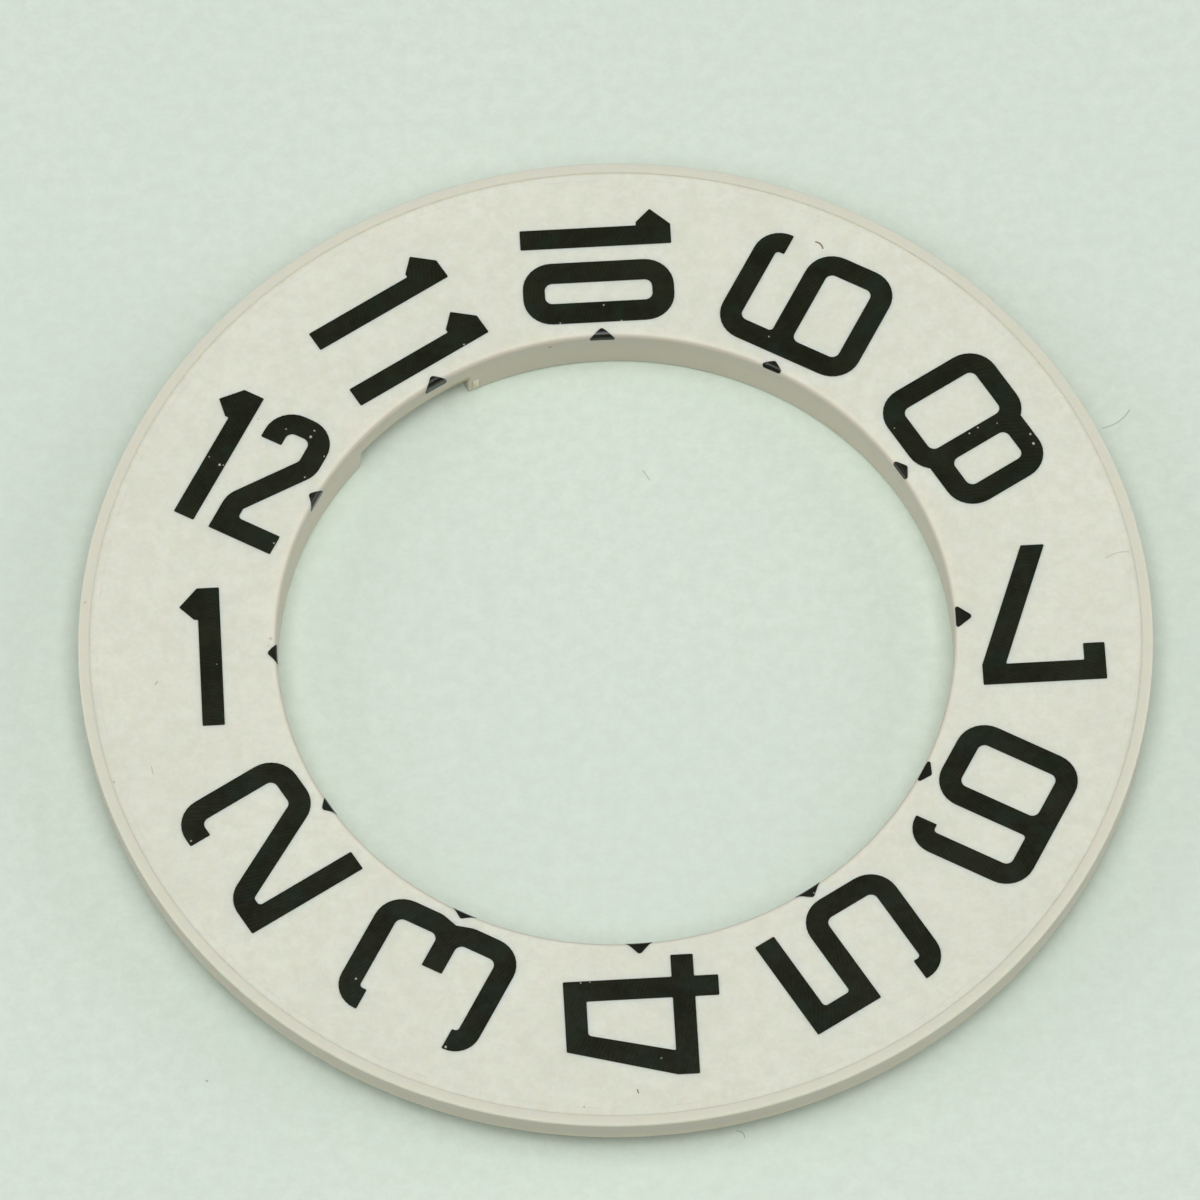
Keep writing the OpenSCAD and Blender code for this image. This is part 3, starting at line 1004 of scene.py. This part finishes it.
@dataclass
class MouldedRing:
    """The one moulding: web, rim lip, collar, driving notch and trimmed gate."""

    ring_steps: int = 337
    notch_steps: int = 23
    notch_draft: float = 0.1
    notch_round: float = 0.03
    notch_slack: float = 0.01
    gate_from: float = 0.12
    gate_w: float = 0.17
    gate_low: float = 0.2
    gate_h: float = 0.36
    gate_out: float = 0.03
    gate_root: float = 0.3
    gate_round: float = 0.018
    pin_r: float = 0.45
    pin_l: float = 0.4
    pin_sides: int = 48
    pin_ring_r: float = 11.9
    pin_first: float = 30.0
    pin_count: int = 6
    pin_depth: float = 0.012
    smooth_below: float = 38.0

    def _beads(self) -> list[Bead]:
        """Lists the corners of the section that are rounded.

        Returns:
            The corners, from the bore's upper edge round to its lower one.
        """
        top = DISC.face_z + DISC.lip_h
        return [
            Bead(DISC.bore_r, DISC.face_z, DISC.edge_r, 12),
            Bead(DISC.lip_r, DISC.face_z, 0.022, 4),
            Bead(DISC.lip_r, top, 0.026, 5),
            Bead(DISC.rim_r, top, 0.04, 6),
            Bead(DISC.rim_r, DISC.collar_h, 0.04, 5),
            Bead(DISC.collar_r, DISC.collar_h, 0.05, 5),
            Bead(DISC.collar_r, 0.0, 0.06, 6),
            Bead(DISC.bore_r, 0.0, 0.12, 8),
        ]

    def _section(self) -> Workpiece:
        """Draws half of the ring's section as a closed outline.

        Returns:
            The outline, on the plane through +X.
        """
        low, high = (DISC.bore_r, DISC.collar_h), (DISC.rim_r, DISC.face_z)
        ring = Workpiece.upright_plate("moulded_ring", low, high)
        ring.edit()
        for x in (DISC.collar_r, DISC.lip_r):
            ring.cut(Vector((x, 0, 0)), Vector((1, 0, 0)))
        ring.select(Pick.EDGES, lambda e: all(
            abs(v.co.z - DISC.collar_h) < NEAR and v.co.x < DISC.collar_r + NEAR for v in e.verts))
        bpy.ops.mesh.extrude_region_move(TRANSFORM_OT_translate={"value": (0, 0, -DISC.collar_h)})
        ring.select(Pick.EDGES, lambda e: all(
            abs(v.co.z - DISC.face_z) < NEAR and v.co.x > DISC.lip_r - NEAR for v in e.verts))
        bpy.ops.mesh.extrude_region_move(TRANSFORM_OT_translate={"value": (0, 0, DISC.lip_h)})
        ring.select(Pick.FACES, lambda f: True)
        bpy.ops.mesh.dissolve_faces(use_verts=False)
        for bead in self._beads():
            ring.round_points(
                lambda v, b=bead: abs(v.co.x - b.x) < NEAR and abs(v.co.z - b.z) < NEAR,
                bead.radius, bead.steps)
        ring.select(Pick.FACES, lambda f: True)
        bpy.ops.mesh.delete(type="ONLY_FACE")
        return ring

    def _spin(self, ring: Workpiece) -> None:
        """Turns the section into the whole ring, with steps at the notch's two ends.

        Args:
            ring: The section, which becomes the ring. The notch's sector starts at +X.
        """
        ring.select(Pick.POINTS, lambda v: True)
        spin = {"center": (0, 0, 0), "axis": (0, 0, 1), "use_auto_merge": False}
        bpy.ops.mesh.spin(steps=self.ring_steps, angle=math.radians(360 - DISC.notch_span), **spin)
        bpy.ops.mesh.spin(steps=self.notch_steps, angle=math.radians(DISC.notch_span), **spin)
        ring.select_all()
        bpy.ops.mesh.remove_doubles(threshold=NEAR)
        bpy.ops.mesh.normals_make_consistent(inside=False)

    def _in_notch(self, point: Vector) -> bool:
        """Returns whether a point lies in the notch's sector, before the ring is turned."""
        angle = math.degrees(math.atan2(point.y, point.x))
        return -self.notch_slack < angle < DISC.notch_span + self.notch_slack

    def _bounds_notch(self, edge: bmesh.types.BMEdge) -> bool:
        """Tells the edges to soften: those of the notch's end faces, and of its roof at the bore.

        Args:
            edge: The edge.

        Returns:
            Whether it is one of them.
        """
        # Only an end face of the notch has more than eight corners.
        if any(len(face.verts) > 8 for face in edge.link_faces):
            return True
        at_roof = all(abs(v.co.z - DISC.collar_h) < NEAR and v.co.xy.length < DISC.bore_r + NEAR
                      for v in edge.verts)
        return at_roof and self._in_notch((edge.verts[0].co + edge.verts[1].co) / 2)

    def _open_notch(self, ring: Workpiece) -> None:
        """Takes the driving notch out of the collar and softens its edges.

        Args:
            ring: The whole ring.
        """
        ring.select(Pick.FACES, lambda f: self._in_notch(f.calc_center_median())
                    and f.calc_center_median().z < DISC.collar_h - NEAR)
        bpy.ops.mesh.delete(type="FACE")
        ring.select(Pick.EDGES, lambda e: e.is_boundary
                    and all(abs(v.co.z - DISC.collar_h) < NEAR for v in e.verts)
                    and self._in_notch((e.verts[0].co + e.verts[1].co) / 2))
        bpy.ops.mesh.bridge_edge_loops()
        ring.select_all()
        bpy.ops.mesh.fill_holes(sides=0)
        ring.select_all()
        bpy.ops.mesh.normals_make_consistent(inside=False)
        far = math.radians(DISC.notch_span)
        ring.select(Pick.POINTS, lambda v: v.co.z < DISC.collar_h / 2
                    and abs(math.atan2(v.co.y, v.co.x) - far) < NEAR)
        draft = Vector((-math.sin(far), math.cos(far), 0)) * self.notch_draft
        bpy.ops.transform.translate(value=draft)
        ring.round_edges(self._bounds_notch, self.notch_round, 3)

    def _press_pins(self, ring: Workpiece) -> None:
        """Presses the shallow rounds of the ejector pins into the web's underside.

        Args:
            ring: The whole ring.
        """
        for k in range(self.pin_count):
            angle = math.radians(self.pin_first + 360 * k / self.pin_count)
            bpy.ops.object.select_all(action="DESELECT")
            bpy.ops.mesh.primitive_cylinder_add(
                vertices=self.pin_sides, radius=self.pin_r, depth=self.pin_l,
                location=(self.pin_ring_r * math.cos(angle), self.pin_ring_r * math.sin(angle),
                          DISC.collar_h + self.pin_depth - self.pin_l / 2))
            pin = bpy.context.object
            ring.apply("BOOLEAN", object=pin, operation="DIFFERENCE", solver="EXACT")
            bpy.data.objects.remove(pin)

    def _trimmed_gate(self) -> Workpiece:
        """Makes the stub that the cut gate left on the bore's wall.

        Returns:
            The stub, beside the notch's first end.
        """
        low = Vector((DISC.bore_r - self.gate_out, -self.gate_from - self.gate_w, self.gate_low))
        high = Vector((DISC.bore_r + self.gate_root, -self.gate_from, self.gate_low + self.gate_h))
        stub = Workpiece.block("trimmed_gate", low, high)
        stub.edit()
        stub.round_edges(lambda e: True, self.gate_round, 3)
        stub.turn(DISC.notch_from)
        return stub

    def build(self, finish: bpy.types.Material, gate_finish: bpy.types.Material) -> None:
        """Builds and dresses the ring and its gate.

        Args:
            finish: The moulding's material.
            gate_finish: The gate's material.
        """
        ring = self._section()
        self._spin(ring)
        self._open_notch(ring)
        ring.turn(DISC.notch_from)
        self._press_pins(ring)
        obj = ring.finish(self.smooth_below)
        obj.data.materials.append(finish)
        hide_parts("hour_ring")
        LOG.info("moulded_ring: %d faces", len(obj.data.polygons))
        gate = self._trimmed_gate().finish(self.smooth_below)
        gate.data.materials.append(gate_finish)
        LOG.info("trimmed_gate: %d faces", len(gate.data.polygons))


@dataclass
class PrintedFigures:
    """The printed figures of the hours, each with softly rounded shoulders."""

    shoulder: float = 0.005
    shoulder_steps: int = 2
    flat_within: float = 0.5
    smooth_below: float = 20.0

    def build(self, nodes: dict[str, bpy.types.Object], finish: bpy.types.Material) -> None:
        """Builds and dresses every figure.

        Args:
            nodes: The CAD nodes by name.
            finish: The ink's material.
        """
        for name in sorted(nodes):
            if not name.startswith("numeral_"):
                continue
            figure = Workpiece.copy_of(nodes[name], name.replace("numeral", "figure"))
            bpy.ops.mesh.dissolve_limited(angle_limit=math.radians(self.flat_within))
            count = figure.round_edges(
                lambda e: all(abs(v.co.z - DISC.print_z) < NEAR for v in e.verts)
                and any(abs(f.normal.z) < 0.5 for f in e.link_faces),
                self.shoulder, self.shoulder_steps)
            obj = figure.finish(self.smooth_below)
            obj.data.materials.append(finish)
            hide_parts(name)
            LOG.info("%s: %d shoulder edges", obj.name, count)


@dataclass(frozen=True)
class Mark:
    """How one pointer mark came out in print.

    The tip's reach and place to one side are those of the sharp corner before it is rounded.
    The foot is how far the mark's base lies outside the bore, or below zero how far it runs down
    the bore's wall. The flare is how much wider it gets there than straight flanks would make it.
    """

    reach: float
    aside: float
    spread: float
    foot: float = -0.2
    flare: float = 0.0

    @property
    def on_face(self) -> bool:
        """Whether the mark ends on the face."""
        return self.foot > 0

    @property
    def half_width(self) -> float:
        """Half of the mark's width at its foot on the wall."""
        return self.reach * math.tan(math.radians(self.spread)) + self.flare


@dataclass(frozen=True)
class Bearing:
    """The directions at one mark: out from the disc's axis, to the side and up."""

    out: Vector
    side: Vector
    up: Vector

    @classmethod
    def at(cls, degrees: float) -> "Bearing":
        """Takes the directions at an angle round the disc.

        Args:
            degrees: The angle from +X.

        Returns:
            The directions.
        """
        turn = math.radians(degrees)
        out = Vector((math.cos(turn), math.sin(turn), 0))
        side = Vector((-math.sin(turn), math.cos(turn), 0))
        return cls(out, side, Vector((0, 0, 1)))

    def point(self, radius: float, aside: float, height: float) -> Vector:
        """Returns the point at a radius, at a distance to the side and at a height."""
        return self.out * radius + self.side * aside + self.up * height


@dataclass
class PointerMarks:
    """The pointer marks beside the bore: coats of ink on the face or over the ring's edge."""

    tip_r: float = 0.085
    foot_r: float = 0.05
    foot_in: float = 0.065
    first_hour: int = 7
    hour_angle: float = 30.0
    marks: dict[int, Mark] = field(default_factory=lambda: {
        1: Mark(0.26, -0.015, 47), 2: Mark(0.265, 0.035, 47), 3: Mark(0.23, 0.12, 55),
        4: Mark(0.365, 0.13, 43), 5: Mark(0.3, 0.155, 51), 6: Mark(0.325, 0.085, 57, 0.05),
        7: Mark(0.515, 0.025, 37, 0.06), 8: Mark(0.285, -0.055, 57, 0.02),
        9: Mark(0.27, -0.115, 55, 0.01), 10: Mark(0.26, -0.13, 47, -0.2, 0.06),
        11: Mark(0.24, -0.11, 48, -0.3, 0.07), 12: Mark(0.235, -0.085, 47, -0.25, 0.09)})
    thin_hours: tuple[int, ...] = (11, 12)
    strip_w: float = 0.7
    half_strip: float = 4.0
    strip_steps: int = 40
    edge_steps: int = 12
    corner_cuts: int = 4
    soft: float = 0.004
    soft_above: float = 50.0
    smooth_below: float = 20.0

    def _strip(self, angle: float, depth: float) -> Workpiece:
        """Lays a strip of ink over the ring's edge.

        Args:
            angle: Where the strip's middle lies, in degrees.
            depth: How far below the face it reaches.

        Returns:
            The strip, as a sheet without thickness.
        """
        low, high = (DISC.bore_r, DISC.face_z - depth), (DISC.bore_r + self.strip_w, DISC.face_z)
        strip = Workpiece.upright_plate("mark", low, high)
        strip.edit()
        strip.round_points(lambda v: v.co.x < DISC.bore_r + NEAR and v.co.z > DISC.face_z - NEAR,
                           DISC.edge_r, self.edge_steps)
        strip.select(Pick.FACES, lambda f: True)
        bpy.ops.mesh.delete(type="ONLY_FACE")
        strip.select(Pick.POINTS, lambda v: v.co.x > high[0] - NEAR and v.co.z < low[1] + NEAR)
        bpy.ops.mesh.delete(type="VERT")
        strip.select(Pick.POINTS, lambda v: True)
        bpy.ops.mesh.spin(steps=self.strip_steps, angle=math.radians(2 * self.half_strip),
                          center=(0, 0, 0), axis=(0, 0, 1), use_auto_merge=False)
        strip.select_all()
        bpy.ops.mesh.normals_make_consistent(inside=False)
        faces = bmesh.from_edit_mesh(strip.obj.data).faces
        top = max(faces, key=lambda f: f.calc_center_median().z)
        if top.normal.z < 0:
            bpy.ops.mesh.flip_normals()
        strip.turn(angle + self.half_strip)
        return strip

    def _round_corner(self, mark: Workpiece, middle: Vector, radius: float,
                      start: Vector, end: Vector) -> None:
        """Rounds a corner of a mark by cuts along its arc.

        Args:
            mark: The mark.
            middle: The arc's middle.
            radius: The arc's radius.
            start: The direction in which the arc starts.
            end: The direction in which it ends.
        """
        for k in range(1, self.corner_cuts + 1):
            way = start.slerp(end, k / (self.corner_cuts + 1))
            mark.cut(middle + way * radius, way, clear=True)

    def _cut_flanks(self, mark: Workpiece, size: Mark, at: Bearing) -> list[Vector]:
        """Cuts a mark's two flanks and rounds its tip.

        Args:
            mark: The strip that becomes the mark.
            size: How the mark came out.
            at: The directions at the mark.

        Returns:
            The directions that the flanks face.
        """
        spread = math.radians(size.spread)
        tip = at.point(DISC.bore_r + size.reach, size.aside, DISC.face_z)
        foot = at.point(DISC.bore_r, size.aside, DISC.face_z + size.foot)
        flanks = []
        for way in (at.side, -at.side):
            flank = at.out * math.sin(spread) + way * math.cos(spread)
            flanks.append(flank)
            normal = flank
            if size.flare:
                down = foot + way * size.half_width - tip
                normal = down.cross(at.up.cross(flank)).normalized()
                normal = normal if normal.dot(way) > 0 else -normal
            mark.cut(tip, normal, clear=True)
        middle = tip - at.out * (self.tip_r / math.sin(spread))
        self._round_corner(mark, middle, self.tip_r, *flanks)
        return flanks

    def _cut_base(self, mark: Workpiece, size: Mark, at: Bearing, flanks: list[Vector]) -> None:
        """Cuts the base of a mark that ends on the face, and rounds its corners.

        Args:
            mark: The mark.
            size: How it came out.
            at: The directions at the mark.
            flanks: The directions that its flanks face.
        """
        base = at.point(DISC.bore_r + size.foot, size.aside, DISC.face_z)
        mark.cut(base, -at.out, clear=True)
        half = (size.reach - size.foot) * math.tan(math.radians(size.spread))
        back = self.foot_r / math.tan(math.radians(90 - size.spread) / 2)
        for way, flank in zip((at.side, -at.side), flanks):
            middle = base + at.out * self.foot_r + way * (half - back)
            self._round_corner(mark, middle, self.foot_r, flank, -at.out)

    def _round_foot(self, mark: Workpiece, size: Mark, at: Bearing) -> None:
        """Rounds the lower corners of a mark that runs down the bore's wall.

        Args:
            mark: The mark.
            size: How it came out.
            at: The directions at the mark.
        """
        low = at.point(DISC.bore_r, size.aside, DISC.face_z + size.foot + self.foot_r)
        for way in (at.side, -at.side):
            middle = low + way * (size.half_width - self.foot_in)
            self._round_corner(mark, middle, self.foot_r, way, -at.up)

    def _mark(self, hour: int) -> Workpiece:
        """Cuts one mark out of a strip and gives it its thickness.

        Args:
            hour: The hour it points at.

        Returns:
            The mark.
        """
        size = self.marks[hour]
        angle = self.hour_angle * (hour - self.first_hour)
        at = Bearing.at(angle)
        mark = self._strip(angle, DISC.edge_r if size.on_face else -size.foot)
        mark.obj.name = mark.obj.data.name = f"pointer_mark_{hour}"
        mark.edit()
        flanks = self._cut_flanks(mark, size, at)
        if size.on_face:
            self._cut_base(mark, size, at, flanks)
        else:
            self._round_foot(mark, size, at)
        mark.select_all()
        bpy.ops.mesh.remove_doubles(threshold=MERGE)
        mark.apply("SOLIDIFY", thickness=DISC.ink_t, offset=1.0)
        mark.apply("BEVEL", width=self.soft, segments=2, limit_method="ANGLE",
                   angle_limit=math.radians(self.soft_above))
        return mark

    def build(self, finish: bpy.types.Material, thin_finish: bpy.types.Material) -> None:
        """Builds and dresses the twelve marks.

        Args:
            finish: The ink's material.
            thin_finish: The material of ink that ran thin over the edge.
        """
        for hour in self.marks:
            obj = self._mark(hour).finish(self.smooth_below)
            obj.data.materials.append(thin_finish if hour in self.thin_hours else finish)
            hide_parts(f"mark_{hour}")
            LOG.info("%s: %d faces", obj.name, len(obj.data.polygons))


@dataclass
class SoftBox:
    """A square soft light: its power, its side, and where it stands as seen from the disc."""

    name: str
    watts: float
    side: float
    away: float
    azimuth: float
    elevation: float

    def hang(self) -> None:
        """Hangs the light, facing the disc."""
        lamp = bpy.data.lights.new(self.name, "AREA")
        lamp.shape = "SQUARE"
        lamp.size = self.side
        lamp.energy = self.watts
        obj = bpy.data.objects.new(self.name, lamp)
        bpy.context.scene.collection.objects.link(obj)
        azimuth, elevation = math.radians(self.azimuth), math.radians(self.elevation)
        direction = Vector((math.cos(elevation) * math.cos(azimuth),
                            math.cos(elevation) * math.sin(azimuth), math.sin(elevation)))
        obj.location = direction * self.away
        obj.rotation_euler = direction.to_track_quat("Z", "Y").to_euler()


@dataclass
class Studio:
    """The sheet, the lights, the world and the camera."""

    boxes: tuple[SoftBox, ...] = (
        SoftBox("top box", 4.28, 0.8, 1.0, -90.0, 85.0),
        SoftBox("front box", 3.25, 0.6, 1.0, -90.0, 67.0),
        SoftBox("left box", 0.535, 0.3, 0.5, 178.0, 25.0),
        SoftBox("right box", 0.57, 0.3, 0.5, 2.0, 25.0),
    )
    fill: tuple[float, float, float, float] = (1.04, 0.95, 1.0, 1.0)
    fill_strength: float = 0.197
    sheet_side: float = 4000.0
    focal_pixels: float = 12253.0
    frame_pixels: float = 1200.0
    sensor: float = 36.0
    distance: float = 319.2
    elevation: float = 63.359
    roll: float = -1.247
    turn: float = -1.962
    disc_at: tuple[float, float] = (615.34, 635.52)

    def lay_sheet(self, finish: bpy.types.Material) -> None:
        """Lays the sheet that the disc stands on.

        Args:
            finish: The sheet's material.
        """
        bpy.ops.object.select_all(action="DESELECT")
        bpy.ops.mesh.primitive_plane_add(size=self.sheet_side * MM)
        sheet = bpy.context.object
        sheet.name = sheet.data.name = "sheet"
        sheet.data.materials.append(finish)

    def light(self) -> None:
        """Hangs the lights and gives the room its even fill."""
        for box in self.boxes:
            box.hang()
        world = bpy.data.worlds.new("room")
        world.use_nodes = True
        background = world.node_tree.nodes["Background"]
        background.inputs["Color"].default_value = self.fill
        background.inputs["Strength"].default_value = self.fill_strength
        bpy.context.scene.world = world
        bpy.context.scene.view_settings.view_transform = "Standard"

    def aim(self) -> None:
        """Sets the camera where the photographer stood."""
        lens = bpy.data.cameras.new("camera")
        lens.sensor_width = self.sensor
        lens.lens = self.focal_pixels / self.frame_pixels * self.sensor
        lens.clip_start = 0.01
        camera = bpy.data.objects.new("camera", lens)
        bpy.context.scene.collection.objects.link(camera)
        view = (Matrix.Rotation(math.radians(self.turn), 4, "Z")
                @ Matrix.Rotation(math.radians(90 - self.elevation), 4, "X")
                @ Matrix.Rotation(math.radians(self.roll), 4, "Z"))
        middle = self.frame_pixels / 2
        pixel = self.distance / self.focal_pixels
        disc = Vector(((self.disc_at[0] - middle) * pixel, (middle - self.disc_at[1]) * pixel,
                       -self.distance))
        place = (Vector((0, 0, DISC.face_z)) - view.to_3x3() @ disc) * MM
        camera.matrix_world = Matrix.Translation(place) @ view
        bpy.context.scene.camera = camera


def main() -> None:
    """Builds the disc and its studio in order."""
    logging.basicConfig(level=logging.INFO, format="%(name)s: %(message)s")
    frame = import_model()
    SharedEffects().build()
    studio = Studio()
    studio.aim()
    studio.light()
    studio.lay_sheet(PaleSheet().material())
    ink = PrintedInk().material()
    mark_ink = PrintedInk(name="glossy black ink", body=Tint(13, 17, 6), gloss=0.4,
                          roughness=(0.14, 0.2))
    thin_ink = replace(mark_ink, name="thin black ink", thin_below=1.47)
    MouldedRing().build(MouldedPlastic().material(), TrimmedPlastic().material())
    PrintedFigures().build(frame["nodes"], ink)
    PointerMarks().build(mark_ink.material(), thin_ink.material())
    bpy.ops.object.select_all(action="DESELECT")


if __name__ == "__main__":
    main()
